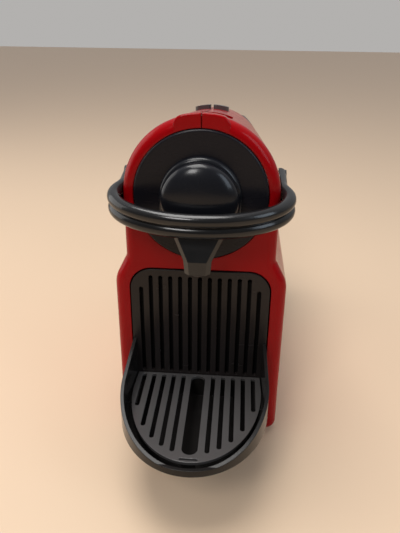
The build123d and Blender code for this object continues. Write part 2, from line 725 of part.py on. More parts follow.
def grid_slot(x, width):
    """One slot of the grid, between its back border and its curved front border."""
    reach = GRID_NOSE - GRID_BORDER
    bend = FRONT_Y - GRID_FRONT + GRID_NOSE
    front = bend - reach * sqrt(1 - (x / (GRID_HALF - GRID_BORDER / 2)) ** 2)
    back = FRONT_Y - GRID_SLOT_INSET
    slot = Pos(x, (back + front) / 2) * SlotOverall(back - front, width, rotation=90)
    return extrude_up(slot, LEDGE_Z - 1, GRID_TOP + 1)


def drip_grid():
    """Slotted plate that the cup stands on."""
    plan = nose_plan(GRID_HALF, GRID_BACK_HALF, GRID_NOSE, GRID_FRONT)
    plan -= Pos(0, FRONT_Y - TRAY_GAP) * Rectangle(2 * GRID_HALF, 2 * GRID_BACK_GAP)
    grid = extrude_up(plan, LEDGE_Z, GRID_TOP)
    for count in range(GRID_SLOTS_EACH_SIDE):
        x = (count + 1.5) * GRID_PITCH
        grid -= grid_slot(x, GRID_SLOT_W)
        grid -= grid_slot(-x, GRID_SLOT_W)
    grid -= grid_slot(0, GRID_MIDDLE_W)
    notch = Pos(0, FRONT_Y - GRID_FRONT + NOTCH_BACK) * SlotOverall(NOTCH_L, NOTCH_W)
    return grid - extrude_up(notch, LEDGE_Z - 1, GRID_TOP + 1)


def lever_frame(shape):
    """Tilt a shape drawn level at the pivot's height to the lever's rest slope."""
    tilt = degrees(atan2(LEVER_DROP, PIVOT_BACK + LEVER_REACH))
    place = Pos(0, PIVOT_Y, PIVOT_Z) * Rot(tilt, 0, 0) * Pos(0, -PIVOT_Y, -PIVOT_Z)
    return place * shape


def ear_inner():
    """X of the inner face of the lever's ears, clear of the head as they turn."""
    return head_radius(PIVOT_Y - EAR_R) + EAR_GAP


def head_room():
    """Room that the lever's arms leave beside the head over their whole swing."""
    back = PIVOT_Y + 2 * EAR_R
    right = [(head_radius(FRONT_Y) + EAR_GAP, FRONT_Y), (head_radius(back) + EAR_GAP, back)]
    left = [(-x, y) for x, y in reversed(right)]
    return extrude_up(make_face(Polyline(*right, *left, close=True)), DISC_Z - DISC_R, HEAD_TOP)


def lever_path():
    """Middle line of the lever's bars, level at the pivot's height."""
    bar_x = LEVER_HALF - LEVER_BAR_R
    ear_x = ear_inner() + EAR_T - LEVER_BAR_R
    bend_y = FRONT_Y + LEVER_BEND
    depth = bend_y - (PIVOT_Y - hypot(PIVOT_BACK + LEVER_REACH, LEVER_DROP)) - LEVER_BAR_R
    bow = EllipticalCenterArc((0, bend_y), bar_x, depth, start_angle=180, arc_size=180)
    taper_y = bend_y + LEVER_TAPER
    taper = Spline((bar_x, bend_y), (ear_x, taper_y), tangents=[(0, 1), (0, 1)])
    arm = Line((ear_x, taper_y), (ear_x, PIVOT_Y))
    right = [*taper.edges(), *arm.edges()]
    left = [*mirror(taper, Plane.YZ).edges(), *mirror(arm, Plane.YZ).edges()]
    return Pos(0, 0, PIVOT_Z) * Wire([*left, *bow.edges(), *right])


def lever_loop():
    """U-shaped lever of two joined round bars that thin down to an ear at each end."""
    path = lever_path()
    bars = Circle(LEVER_BAR_R)
    bars = Pos(0, LEVER_BAR_PITCH / 2) * bars + Pos(0, -LEVER_BAR_PITCH / 2) * bars
    loop = sweep(Plane(path @ 0, x_dir=(1, 0, 0), z_dir=path % 0) * bars, path=path)
    ear_in = ear_inner()
    ear = rod_x(EAR_R, PIVOT_Y, PIVOT_Z, ear_in, ear_in + EAR_T)
    socket = rod_x(SHAFT_R, PIVOT_Y, PIVOT_Z, ear_in - 1, ear_in + EAR_T - EAR_SKIN)
    for side_ear, side_socket in zip(both(ear), both(socket)):
        loop = loop + side_ear - side_socket
    return lever_frame(loop) - head_room()


def lever_shafts():
    """Stub shafts that carry the lever's turn to a crank on each side of the cage."""
    inner = CARRIAGE_HALF + CRANK_GAP
    shaft = rod_x(SHAFT_R, PIVOT_Y, PIVOT_Z, inner, ear_inner() + EAR_T - EAR_SKIN)
    shaft += rod_x(CRANK_HUB_R, PIVOT_Y, PIVOT_Z, inner, inner + CRANK_T)
    shaft += rod_x(CRANK_END_R, PIN_Y, PIN_Z, inner, inner + CRANK_T)
    arm = Pos(inner + CRANK_T / 2, (PIVOT_Y + PIN_Y) / 2, (PIVOT_Z + PIN_Z) / 2)
    shaft += arm * Rot(degrees(CRANK_TILT), 0, 0) * Box(CRANK_T, 2 * CRANK_END_R, CRANK_R)
    shaft += rod_x(CRANK_PIN_R, PIN_Y, PIN_Z, CARRIAGE_HALF - CARRIAGE_EAR_T, inner + 1)
    return both(shaft)


def lever_bushes():
    """Bushes in the casing around the stub shafts."""
    start = head_half(PIVOT_Z, PIVOT_Y, WALL) - 1.5
    end = ear_inner() - EAR_GAP
    ring = rod_x(SHAFT_R + BUSH_WALL - RUN_FIT, PIVOT_Y, PIVOT_Z, start, end)
    return both(ring - rod_x(SHAFT_R + RUN_FIT, PIVOT_Y, PIVOT_Z, start - 1, end + 1))


def brew_frame():
    """Front plate and two side walls that carry the cage, its guides and the lever shafts."""
    wall_y = BREW_BACK + BREW_WALL
    bottom = HEAD_Z - BREW_BELOW
    plate = block(-BREW_PLATE_HALF, BREW_PLATE_HALF, BREW_Y, PLATE_Y, PANEL_TOP + 5, HEAD_TOP)
    frame = plate
    for side in both(block(BREW_IN, BREW_IN + BREW_WALL, BREW_Y, wall_y, bottom, PIVOT_Z + BREW_ABOVE)):
        frame += side
    frame += block(-BREW_IN - 1, BREW_IN + 1, BREW_BACK, wall_y, bottom, PIVOT_Z + BREW_ABOVE)
    frame &= casing_form(WALL + BREW_GAP, BREW_Y, wall_y)
    lug_front = CAGE_Y + LUG_INSET
    lug_back = lug_front + LUG_LENGTH + CAGE_TRAVEL + 0.6
    half_h = GUIDE_H / 2 + GUIDE_FIT
    frame -= block(-BREW_IN - 5, BREW_IN + 5, lug_front - 0.5, lug_back, GUIDE_Z - half_h, GUIDE_Z + half_h)
    frame -= rod_x(SHAFT_R + RUN_FIT, PIVOT_Y, PIVOT_Z, -BODY_HALF, BODY_HALF)
    frame -= rod_y(INJECTOR_R + 0.5, 0, HEAD_Z, BREW_BACK - 1, wall_y + 1)
    frame -= rod_y(OUTLET_R, 0, HEAD_Z, BREW_Y - 1, PLATE_Y + 1)
    return frame


def extraction_plate():
    """Pierced plate that the capsule's lid is pressed against."""
    plate = rod_y(CAGE_R - 1, 0, HEAD_Z, PLATE_Y, PLATE_Y + PLATE_T)
    for ring_r, count in ((5.0, 6), (10.0, 12)):
        for turn in range(count):
            angle = radians(360 * turn / count)
            x = ring_r * cos(angle)
            z = HEAD_Z + ring_r * sin(angle)
            hole = rod_y(0.8, x, z, PLATE_Y - 1, PLATE_Y + PLATE_T + 1)
            plate -= hole
    return plate


def brew_seal():
    """Rubber ring between the plate and the cage."""
    start = PLATE_Y + PLATE_T
    ring = rod_y(CAGE_R - 1, 0, HEAD_Z, start, start + SEAL_T - 0.1)
    return ring - rod_y(CAGE_MOUTH_R + 0.4, 0, HEAD_Z, start - 1, start + SEAL_T + 1)


def capsule_cage():
    """Metal cup that holds the capsule, with the injector tube at its back."""
    cup = rod_y(CAGE_R, 0, HEAD_Z, CAGE_Y, CAGE_BACK)
    hollow = Cone(CAGE_MOUTH_R, CAGE_END_R, CAGE_CUP_DEPTH, align=(Align.CENTER, Align.CENTER, Align.MIN))
    cup -= Pos(0, CAGE_Y, HEAD_Z) * Rot(-90, 0, 0) * hollow
    tube_end = BOILER_Y + INJECTOR_OVERLAP
    cup += rod_y(INJECTOR_R, 0, HEAD_Z, CAGE_BACK - 1, tube_end)
    return cup - rod_y(INJECTOR_R / 2, 0, HEAD_Z, CAGE_Y, tube_end + 1)


def cage_carriage():
    """Slider around the cage, with a lug in each guide and a slotted ear for each crank pin."""
    front = CAGE_Y + LUG_INSET
    half = CARRIAGE_HALF
    body = block(-half, half, front, CAGE_BACK, HEAD_Z - CARRIAGE_BELOW, HEAD_Z + CARRIAGE_ABOVE)
    body -= rod_y(CAGE_R + RUN_FIT, 0, HEAD_Z, front - 1, CAGE_BACK + 1)
    lug_end = BREW_IN + BREW_WALL - 0.5
    slot_half = CRANK_PIN_R + CRANK_PIN_PLAY
    for side in (-1, 1):
        lug = sorted((side * (CARRIAGE_HALF - 2), side * lug_end))
        body += block(*lug, front, front + LUG_LENGTH, GUIDE_Z - GUIDE_H / 2, GUIDE_Z + GUIDE_H / 2)
        ear = sorted((side * (CARRIAGE_HALF - CARRIAGE_EAR_T), side * CARRIAGE_HALF))
        reach = slot_half + 3
        body += block(*ear, PIN_Y - reach, PIN_Y + reach, HEAD_Z + 6, PIVOT_Z + CRANK_R + 3.5)
        body -= block(*ear, PIN_Y - slot_half, PIN_Y + slot_half, PIN_Z - 3, PIVOT_Z + CRANK_R + 5)
    return body


def boiler():
    """Heating block with the bore that the injector tube slides in."""
    x = BOILER_HALF
    shape = block(-x, x, BOILER_Y, BOILER_Y + BOILER_D, BOILER_TOP - BOILER_H, BOILER_TOP)
    shape = fillet(shape.edges().filter_by(Axis.Y), 5)
    bore = INJECTOR_OVERLAP + CAGE_TRAVEL + 1
    return shape - rod_y(INJECTOR_R + RUN_FIT, 0, HEAD_Z, BOILER_Y - 1, BOILER_Y + bore)


def boiler_mounts():
    """Spacers between the brew frame and the heating block."""
    start = BREW_BACK + BREW_WALL
    inset = 2 * BOILER_MOUNT_R
    return [rod_y(BOILER_MOUNT_R, side * BOILER_MOUNT_X, z, start, BOILER_Y) for side in (-1, 1)
            for z in (BOILER_TOP - inset, BOILER_TOP - BOILER_H + inset)]


def thermostats():
    """Two thermostats clipped on top of the heating block."""
    caps = []
    for x in (-CLIP_X, CLIP_X):
        y = BOILER_Y + BOILER_D / 2
        shoulder = BOILER_TOP + CLIP_H
        clip = rod_z(CLIP_R, x, y, BOILER_TOP, shoulder)
        caps.append(clip + rod_z(CAP_R, x, y, shoulder, shoulder + CAP_H))
    return caps


def pump_body():
    """Tube of the pump with a barb at each end and the chamber of its plunger."""
    tube = rod_z(PUMP_R, PUMP_X, PUMP_Y, PUMP_BOTTOM, PUMP_TOP)
    tube += rod_y(BARB_R, PUMP_X, PUMP_BARB_Z, PUMP_Y - PUMP_R - BARB_L, PUMP_Y)
    tube += rod_z(BARB_R, PUMP_X, PUMP_Y, PUMP_TOP, PUMP_TOP + BARB_L)
    chamber_top = PLUNGER_Z + PLUNGER_L + PUMP_SPRING_L
    chamber = rod_z(PLUNGER_R + RUN_FIT, PUMP_X, PUMP_Y, PLUNGER_Z - PLUNGER_STROKE, chamber_top)
    water = rod_z(WATER_R, PUMP_X, PUMP_Y, PUMP_BARB_Z, PUMP_TOP + BARB_L + 1)
    water += rod_y(WATER_R, PUMP_X, PUMP_BARB_Z, PUMP_Y - PUMP_R - BARB_L - 1, PUMP_Y)
    return tube - chamber - water


def pump_coil():
    """Coil block around the pump's tube."""
    x0 = PUMP_X - COIL_W / 2
    y0 = PUMP_Y - COIL_D / 2
    coil = block(x0, x0 + COIL_W, y0, y0 + COIL_D, COIL_Z, COIL_Z + COIL_H)
    coil = fillet(coil.edges().filter_by(Axis.Z), 3)
    return coil - rod_z(PUMP_R + RUN_FIT, PUMP_X, PUMP_Y, COIL_Z - 1, COIL_Z + COIL_H + 1)


def pump_bracket():
    """Bridge on the floor that carries the pump."""
    top = COIL_Z - PAD_H
    x0 = PUMP_X - COIL_W / 2
    y0 = PUMP_Y - COIL_D / 2
    front = y0 - BRACKET_LAP
    back = y0 + COIL_D + BRACKET_LAP
    bracket = block(x0, x0 + COIL_W, front, back, top - BRACKET_T, top)
    for y in (front, back - BRACKET_T):
        for x in (x0, x0 + COIL_W - BRACKET_LEG):
            bracket += block(x, x + BRACKET_LEG, y, y + BRACKET_T, FLOOR_TOP, top)
    return bracket - rod_z(PUMP_R + 1, PUMP_X, PUMP_Y, top - BRACKET_T - 1, top + 1)


def pump_pads():
    """Rubber pads under the coil."""
    x = COIL_W / 2 - PAD_INSET
    y = COIL_D / 2 - PAD_INSET
    return [rod_z(PAD_R, PUMP_X + dx, PUMP_Y + dy, COIL_Z - PAD_H, COIL_Z)
            for dx in (-x, x) for dy in (-y, y)]


def coil_spring(x, y, z0, z1, radius, wire, turns):
    """A round-wire compression spring along Z."""
    height = z1 - z0 - 2 * wire
    path = Helix(pitch=height / turns, height=height, radius=radius)
    section = Plane(path @ 0, z_dir=path % 0) * Circle(wire)
    return Pos(x, y, z0 + wire) * sweep(section, path=path, is_frenet=True)


def flow_meter():
    """Round meter body with the pin of its impeller."""
    top = FLOOR_TOP + METER_H
    body = rod_z(METER_R, METER_X, METER_Y, FLOOR_TOP, top)
    body -= rod_z(METER_R - METER_WALL, METER_X, METER_Y, FLOOR_TOP + METER_WALL, top - METER_WALL)
    body += rod_z(METER_PIN_R, METER_X, METER_Y, FLOOR_TOP + 1, top - 1)
    body += rod_y(BARB_R, METER_X, METER_BARB_Z, METER_Y - METER_R - BARB_L, METER_Y - METER_R + 1)
    return body + rod_y(BARB_R, METER_X, METER_BARB_Z, METER_Y + METER_R - 1, METER_Y + METER_R + BARB_L)


def flow_impeller():
    """Small wheel that counts the water."""
    z0 = FLOOR_TOP + METER_WALL + IMPELLER_FIT
    z1 = FLOOR_TOP + METER_H - METER_WALL - IMPELLER_FIT
    wheel = rod_z(METER_PIN_R + 2, METER_X, METER_Y, z0, z1)
    blade_r = METER_R - METER_WALL - IMPELLER_FIT
    for turn in range(4):
        blade = Rot(0, 0, 45 * turn) * Box(2 * blade_r, 1.2, z1 - z0)
        wheel += Pos(METER_X, METER_Y, (z0 + z1) / 2) * blade
    return wheel - rod_z(METER_PIN_R + RUN_FIT, METER_X, METER_Y, z0 - 1, z1 + 1)


def hose(points):
    """A hose along straight runs joined by arcs as large as the runs allow."""
    vectors = [Vector(*p) for p in points]
    runs = [b - a for a, b in zip(vectors, vectors[1:])]
    radii = []
    for before, after in zip(runs, runs[1:]):
        half_turn = radians(before.get_angle(after)) / 2
        radii.append(0.45 * min(before.length, after.length) / tan(half_turn))
    path = FilletPolyline(*points, radius=radii)
    start = Plane(path @ 0, z_dir=path % 0)
    return sweep(start * Circle(HOSE_R), path=path) - sweep(start * Circle(HOSE_BORE), path=path)


def tank_hose():
    """Hose from the tank's socket to the flow meter."""
    start_y = TANK_CENTRE_Y - SOCKET_R - 0.1
    end_y = METER_Y + METER_R + BARB_L + 0.1
    middle_z = (SOCKET_HOSE_Z + METER_BARB_Z) / 2
    middle_y = (BACK_Y + end_y) / 2
    return hose([(0, start_y, SOCKET_HOSE_Z), (0, BACK_Y + 4, SOCKET_HOSE_Z),
                 (METER_X / 2, middle_y, middle_z), (METER_X, end_y + 5, METER_BARB_Z),
                 (METER_X, end_y, METER_BARB_Z)])


def meter_hose():
    """Hose from the flow meter round to the pump's inlet, in front of both."""
    start_y = METER_Y - METER_R - BARB_L - 0.1
    end_y = PUMP_Y - PUMP_R - BARB_L - 0.1
    turn_y = FRONT_Y + FRONT_WALL + BIN_DEPTH + HOSE_R + 4
    rise = (PUMP_BARB_Z - METER_BARB_Z) / 4
    middle_x = (METER_X + PUMP_X) / 2
    return hose([(METER_X, start_y, METER_BARB_Z), (METER_X, turn_y + 14, METER_BARB_Z),
                 (METER_X - 4, turn_y + 3, METER_BARB_Z + rise),
                 (middle_x, turn_y, METER_BARB_Z + 2 * rise),
                 (PUMP_X + 4, turn_y + 3, METER_BARB_Z + 3 * rise), (PUMP_X, turn_y + 14, PUMP_BARB_Z),
                 (PUMP_X, end_y, PUMP_BARB_Z)])


def boiler_hose():
    """Hose from the pump's top to the heating block."""
    start_z = PUMP_TOP + BARB_L + 0.1
    end_y = BOILER_Y + BOILER_D / 2
    end_z = BOILER_TOP - BOILER_H - 0.1
    middle_y = (PUMP_Y + end_y) / 2
    return hose([(PUMP_X, PUMP_Y, start_z), (PUMP_X, PUMP_Y, start_z + 8), (PUMP_X, middle_y, start_z + 20),
                 (PUMP_X, end_y, end_z - 9), (PUMP_X, end_y, end_z)])


def control_board():
    """Upright board with its transformer, relay and capacitor."""
    x = BOARD_X
    board = block(x, x + BOARD_T, BOARD_Y, BOARD_Y + BOARD_L, FLOOR_TOP, FLOOR_TOP + BOARD_H)
    z = FLOOR_TOP + BOARD_H * 0.6
    front = BOARD_Y + RELAY_H
    board += block(x - TRANSFORMER_T, x, front, front + RELAY_L, z, z + RELAY_L)
    back = BOARD_Y + BOARD_L - RELAY_H
    board += block(x - RELAY_T, x, back - RELAY_L, back, z, z + RELAY_H)
    return board + rod_x(CAPACITOR_R, front, FLOOR_TOP + BOARD_H / 3, x - RELAY_L, x)


def button_board():
    """Small board under the two buttons, hung from the casing's top by two posts."""
    y0 = BUTTON_Y - SWITCH_L / 2
    board = block(-SWITCH_HALF, SWITCH_HALF, y0, y0 + SWITCH_L, SWITCH_Z - BOARD_T, SWITCH_Z)
    for side in (-1, 1):
        board += rod_z(SWITCH_R, side * BUTTON_X, BUTTON_Y, SWITCH_Z, SWITCH_Z + SWITCH_H)
        top = top_at(POST_X + POST_R, BUTTON_Y + POST_R, WALL) - 0.1
        board += rod_z(POST_R, side * POST_X, BUTTON_Y, SWITCH_Z - BOARD_T, top)
    return board


def button(side):
    """One button: a cap that follows the head's curve, on a stem."""
    plan = extrude_up(button_plan(side), HEAD_Z, HEAD_TOP + 5)
    skin = casing_form(-BUTTON_STAND, FRONT_Y, BACK_Y) - casing_form(WALL + 0.4, FRONT_Y - 1, BACK_Y + 1)
    cap = (plan & skin).solids().sort_by(Axis.Z)[-1]
    x = side * BUTTON_X
    foot = SWITCH_Z + SWITCH_H + BUTTON_TRAVEL + 0.3
    return cap + rod_z(BUTTON_STEM_R, x, BUTTON_Y, foot, top_at(x, BUTTON_Y, 1))


def capsule_door():
    """Curved door under the capsule slot."""
    inset = WALL + DOOR_GAP
    shell = casing_form(inset, FRONT_Y, BACK_Y) - casing_form(inset + DOOR_T, FRONT_Y - 1, BACK_Y + 1)
    half = SLOT_HALF + DOOR_LAP
    return shell & block(-half, half, SLOT_Y - DOOR_LAP, SLOT_Y + SLOT_LENGTH + DOOR_LAP, HEAD_Z, HEAD_TOP)


def lid_ear_x():
    """X of the inner side of the lid's hinge ears."""
    return head_half(TANK_TOP + LID_GAP + LID_T, LID_PIN_Y) - LID_EAR_W


def tank_shell():
    """Open water tank with the valve's spout in its floor."""
    shell = rear_form(0, TANK_FRONT, TANK_LOW, TANK_TOP)
    shell -= rear_form(TANK_WALL, TANK_FRONT + TANK_WALL, TANK_FLOOR, TANK_TOP + 1)
    shell += rod_z(VALVE_R, 0, TANK_CENTRE_Y, TANK_LOW - VALVE_DROP, TANK_LOW + 1)
    shell -= rod_z(VALVE_BORE, 0, TANK_CENTRE_Y, TANK_LOW - VALVE_DROP - 1, TANK_FLOOR + 1)
    inner = lid_ear_x() + LID_GAP
    outer = lid_ear_x() + LID_EAR_W
    top = TANK_TOP + LID_GAP + LID_T
    ear = block(inner, outer, TANK_FRONT, LID_PIN_Y + LID_T, TANK_TOP - 2 * LID_T, top)
    for side_ear in both(ear - rod_x(LID_PIN_R + RUN_FIT, LID_PIN_Y, LID_PIN_Z, inner - 1, outer + 1)):
        shell += side_ear
    return shell


def tank_lid():
    """Hinged lid on the tank."""
    low = TANK_TOP + LID_GAP
    top = low + LID_T
    x = lid_ear_x()
    half = BODY_HALF
    lid = rear_form(0, TANK_FRONT, FOOT_H, top) & block(-half, half, TANK_FRONT, TANK_BACK, low, top)
    lid -= block(-half, half, TANK_FRONT - 1, LID_PIN_Y - LID_T / 2 + 1, low - 1, top + 1)
    for notch in both(block(x, half, TANK_FRONT - 1, LID_PIN_Y + LID_T + 1, low - 1, top + 1)):
        lid -= notch
    lid += rod_x(LID_T / 2, LID_PIN_Y, LID_PIN_Z, -x, x)
    pin_end = x + LID_EAR_W - 1
    return lid + rod_x(LID_PIN_R, LID_PIN_Y, LID_PIN_Z, -pin_end, pin_end)


def tank_socket():
    """Cup in the plinth that the tank's spout plugs into, with the pin that opens the valve."""
    cup = rod_z(SOCKET_R, 0, TANK_CENTRE_Y, FLOOR_TOP, PLINTH_TOP)
    cup -= rod_z(VALVE_R + SEAT_GAP, 0, TANK_CENTRE_Y, TANK_LOW - VALVE_DROP - 0.5, PLINTH_TOP + 1)
    cup -= rod_y(HOSE_BORE, 0, SOCKET_HOSE_Z, TANK_CENTRE_Y - SOCKET_R - 1, TANK_CENTRE_Y)
    return cup + rod_z(VALVE_PIN_R, 0, TANK_CENTRE_Y, FLOOR_TOP + 1, VALVE_STEM_Z - 0.2)


def valve_plunger():
    """Plunger that shuts the tank when it is lifted off."""
    head = rod_z(VALVE_BORE + VALVE_HEAD_T, 0, TANK_CENTRE_Y, VALVE_HEAD_Z, VALVE_HEAD_Z + VALVE_HEAD_T)
    return head + rod_z(VALVE_STEM_R, 0, TANK_CENTRE_Y, VALVE_STEM_Z, VALVE_HEAD_Z)


def valve_seal():
    """Rubber ring under the plunger's head."""
    top = TANK_FLOOR + VALVE_SEAL_T
    ring = rod_z(VALVE_BORE + VALVE_HEAD_T, 0, TANK_CENTRE_Y, TANK_FLOOR, top)
    return ring - rod_z(VALVE_BORE, 0, TANK_CENTRE_Y, TANK_FLOOR - 1, top + 1)


def valve_cage():
    """Snap-in cage over the plunger that the valve spring pushes against."""
    top = TANK_FLOOR + VALVE_CAGE_H
    inner = VALVE_CAGE_R - VALVE_CAGE_T
    cage = rod_z(VALVE_CAGE_R, 0, TANK_CENTRE_Y, TANK_FLOOR, top)
    cage -= rod_z(inner, 0, TANK_CENTRE_Y, TANK_FLOOR - 1, top - VALVE_CAGE_T)
    window = Box(4 * VALVE_CAGE_R, VALVE_CAGE_R - VALVE_CAGE_T, VALVE_CAGE_H - 2 * VALVE_CAGE_T)
    for turn in (0, 90):
        cage -= Pos(0, TANK_CENTRE_Y, TANK_FLOOR + VALVE_CAGE_H / 2) * Rot(0, 0, turn) * window
    return cage


def valve_spring():
    """Spring between the plunger and its cage."""
    z0 = VALVE_HEAD_Z + VALVE_HEAD_T
    z1 = TANK_FLOOR + VALVE_CAGE_H - VALVE_CAGE_T
    return coil_spring(0, TANK_CENTRE_Y, z0, z1, VALVE_BORE + 0.8, 0.4, 5)


def pump_plunger():
    """Steel plunger that the coil drives."""
    return rod_z(PLUNGER_R, PUMP_X, PUMP_Y, PLUNGER_Z, PLUNGER_Z + PLUNGER_L)


def pump_spring():
    """Return spring over the pump's plunger."""
    low = PLUNGER_Z + PLUNGER_L
    return coil_spring(PUMP_X, PUMP_Y, low, low + PUMP_SPRING_L, PLUNGER_R - 0.7, 0.45, 5)


def button_spring(side):
    """Spring around a button's stem."""
    top = top_at(BUTTON_X + 1, BUTTON_Y, WALL + 1.2) - 0.6
    return coil_spring(side * BUTTON_X, BUTTON_Y, SWITCH_Z, top, BUTTON_STEM_R + 0.8, 0.3, 4)


left, right = housings()
save("left_housing", left)
save("right_housing", right)
save("base", base())
save("feet", feet())
save("cord_gland", cord_gland())
save("rear_cover", rear_cover())
save("casing_screws", casing_screws())
save("face_disc", face_disc())
save("face_dome", face_dome())
save("spout", spout())
save("spout_nozzle", spout_nozzle())
save("front_grid", front_grid())
save("capsule_bin", capsule_bin())
save("drip_tray", drip_tray())
save("drip_grid", drip_grid())
save("lever_loop", lever_loop())
save("lever_shafts", lever_shafts())
save("lever_bushes", lever_bushes())
save("brew_frame", brew_frame())
save("extraction_plate", extraction_plate())
save("brew_seal", brew_seal())
save("capsule_cage", capsule_cage())
save("cage_carriage", cage_carriage())
save("capsule_door", capsule_door())
save("boiler", boiler())
save("boiler_mounts", boiler_mounts())
save("thermostats", thermostats())
save("pump_body", pump_body())
save("pump_coil", pump_coil())
save("pump_bracket", pump_bracket())
save("pump_pads", pump_pads())
save("pump_plunger", pump_plunger())
save("pump_spring", pump_spring())
save("flow_meter", flow_meter())
save("flow_impeller", flow_impeller())
save("tank_hose", tank_hose())
save("meter_hose", meter_hose())
save("boiler_hose", boiler_hose())
save("control_board", control_board())
save("button_board", button_board())
save("small_cup_button", button(-1))
save("large_cup_button", button(1))
save("small_cup_spring", button_spring(-1))
save("large_cup_spring", button_spring(1))
save("tank_shell", tank_shell())
save("tank_lid", tank_lid())
save("tank_socket", tank_socket())
save("valve_plunger", valve_plunger())
save("valve_seal", valve_seal())
save("valve_cage", valve_cage())
save("valve_spring", valve_spring())
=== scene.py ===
"""Looks of the pod coffee machine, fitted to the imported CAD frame."""

import bpy
from mathutils import Matrix, Vector


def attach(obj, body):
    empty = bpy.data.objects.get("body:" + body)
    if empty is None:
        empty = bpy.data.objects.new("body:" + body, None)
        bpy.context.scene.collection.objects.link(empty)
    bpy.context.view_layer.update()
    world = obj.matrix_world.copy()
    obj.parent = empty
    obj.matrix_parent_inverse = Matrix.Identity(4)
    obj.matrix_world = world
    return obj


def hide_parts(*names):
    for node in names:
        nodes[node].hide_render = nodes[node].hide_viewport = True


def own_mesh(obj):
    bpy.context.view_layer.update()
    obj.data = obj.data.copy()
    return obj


MM = 0.001
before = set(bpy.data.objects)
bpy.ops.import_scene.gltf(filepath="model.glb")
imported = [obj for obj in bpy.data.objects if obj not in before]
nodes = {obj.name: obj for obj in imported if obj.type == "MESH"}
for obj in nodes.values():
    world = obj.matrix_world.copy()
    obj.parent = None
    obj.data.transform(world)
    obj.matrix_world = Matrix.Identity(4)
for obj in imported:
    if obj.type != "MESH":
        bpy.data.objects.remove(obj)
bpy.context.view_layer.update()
scene = bpy.context.scene


# Camera, at the photograph's place and angle
CAMERA_AT = Vector((22.6, -383.0, 290.2)) * MM
LOOK = Vector((-0.0645, 0.8946, -0.4422)).normalized()
SIDEWAYS = Vector((0.9972, 0.0760, 0.0083)).normalized()
FOCAL_PX = 555.3
PHOTO_W = 400
PHOTO_H = 533
SENSOR_MM = 36.0
NEAREST_SEEN = 10 * MM


def make_camera():
    data = bpy.data.cameras.new("camera")
    data.sensor_fit = "VERTICAL"
    data.sensor_height = SENSOR_MM
    data.sensor_width = SENSOR_MM * PHOTO_W / PHOTO_H
    data.lens = SENSOR_MM * FOCAL_PX / PHOTO_H
    data.clip_start = NEAREST_SEEN
    camera = bpy.data.objects.new("camera", data)
    scene.collection.objects.link(camera)
    up = SIDEWAYS.cross(LOOK).normalized()
    right = LOOK.cross(up).normalized()
    turn = Matrix((right, up, -LOOK)).transposed()
    camera.matrix_world = Matrix.Translation(CAMERA_AT) @ turn.to_4x4()
    scene.camera = camera


# Sockets of the colour mix node, which share their names, so they go by number
MIX_FACTOR = 0
MIX_FIRST = 6
MIX_SECOND = 7
MIX_RESULT = 2

# Surface textures: noise scales are per metre, grain depths and edge radii are in metres
NOISE_LOW = 0.3
NOISE_HIGH = 0.7
DRIFT_SCALE = 22
WIPE_SCALE = 60
WIPE_DETAIL = 4
WIPE_STRETCH = (1, 1, 2.5)
PLAIN_DETAIL = 2
LEAST_ROUGH = 0.02
COAT_ROUGH = 0.06
FINE_GRAIN = 0.00001
LIGHT_GRAIN = 0.00002
CAST_GRAIN = 0.00003
RUBBER_GRAIN = 0.00004
EDGE_R = 0.0005
CASING_EDGE_R = 0.0008
EDGE_SAMPLES = 6


def link(tree, start, output, end, socket):
    tree.links.new(start.outputs[output], end.inputs[socket])


def noise_node(tree, scale, detail, stretch=(1, 1, 1)):
    """Noise in a piece's own coordinates, in metres, so that grain has one size on every piece."""
    place = tree.nodes.new("ShaderNodeTexCoord")
    mapping = tree.nodes.new("ShaderNodeMapping")
    mapping.inputs["Scale"].default_value = stretch
    noise = tree.nodes.new("ShaderNodeTexNoise")
    noise.inputs["Scale"].default_value = scale
    noise.inputs["Detail"].default_value = detail
    link(tree, place, "Object", mapping, "Vector")
    link(tree, mapping, "Vector", noise, "Vector")
    return noise


def ramp_node(tree, source, output, low, high, start=NOISE_LOW, end=NOISE_HIGH):
    """Map a value between start and end to one between low and high."""
    ramp = tree.nodes.new("ShaderNodeMapRange")
    ramp.inputs["From Min"].default_value = start
    ramp.inputs["From Max"].default_value = end
    ramp.inputs["To Min"].default_value = low
    ramp.inputs["To Max"].default_value = high
    link(tree, source, output, ramp, "Value")
    return ramp


def colour_node(tree, ramp, first, second):
    """Blend two colours by the result of a ramp."""
    mix = tree.nodes.new("ShaderNodeMix")
    mix.data_type = "RGBA"
    mix.inputs[MIX_FIRST].default_value = (*first, 1)
    mix.inputs[MIX_SECOND].default_value = (*second, 1)
    link(tree, ramp, "Result", mix, MIX_FACTOR)
    return mix


